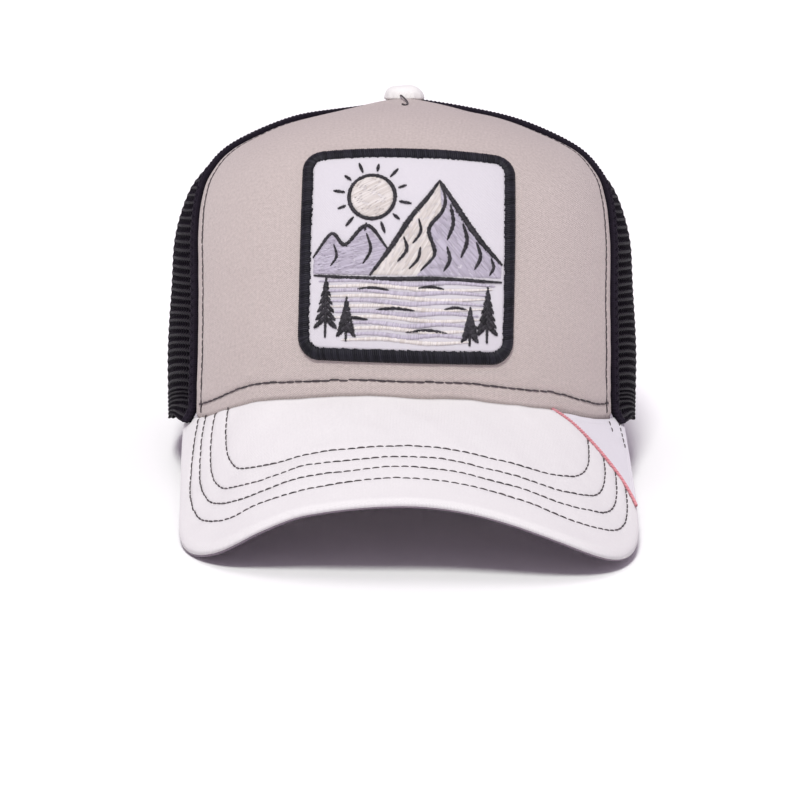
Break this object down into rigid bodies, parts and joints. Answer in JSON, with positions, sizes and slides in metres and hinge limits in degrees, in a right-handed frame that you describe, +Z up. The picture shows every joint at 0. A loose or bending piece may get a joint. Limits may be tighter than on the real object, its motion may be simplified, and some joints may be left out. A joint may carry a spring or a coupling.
{
  "type": "trucker cap",
  "caption": "Trucker cap with a foam-backed front panel, a square patch, net sides and back, a curved peak with a piped corner, and a strap across the rear arch.",
  "frame": {"origin": "middle of the bounding box on the surface on which the cap rests", "axes": "+Z up, the front and the peak towards -Y, +X to the right as seen from the front"},
  "size_m": [0.172, 0.2694, 0.1352],
  "materials": {
    "panel_cloth": "greige twill on foam",
    "net": "black knitted net with a soft sheen",
    "net_fold": "black ribbed fold of the net",
    "button_cloth": "off-white cloth",
    "peak_cloth": "off-white twill with dark stitching",
    "underside_cloth": "grey twill",
    "tab_cloth": "smooth pale cloth",
    "piping": "twisted rose-red cord",
    "patch_cloth": "pale cloth with embroidery",
    "patch_thread": "black satin thread",
    "band_cloth": "black cotton",
    "binding_tape": "black woven tape",
    "strap_plastic": "black moulded plastic"
  },
  "bodies": {
    "root": {"front_panel": "panel_cloth", "mesh_side_left": "net", "mesh_side_right": "net", "mesh_back_left": "net", "mesh_back_right": "net", "seam_fold_left": "net_fold", "seam_fold_right": "net_fold", "button": "button_cloth", "peak": "peak_cloth", "peak_underside": "underside_cloth", "corner_tab": "tab_cloth", "corner_piping": "piping", "patch_field": "patch_cloth", "patch_border": "patch_thread", "sweatband": "band_cloth", "arch_binding": "binding_tape", "snap_strap": "strap_plastic"}
  },
  "joints": []
}
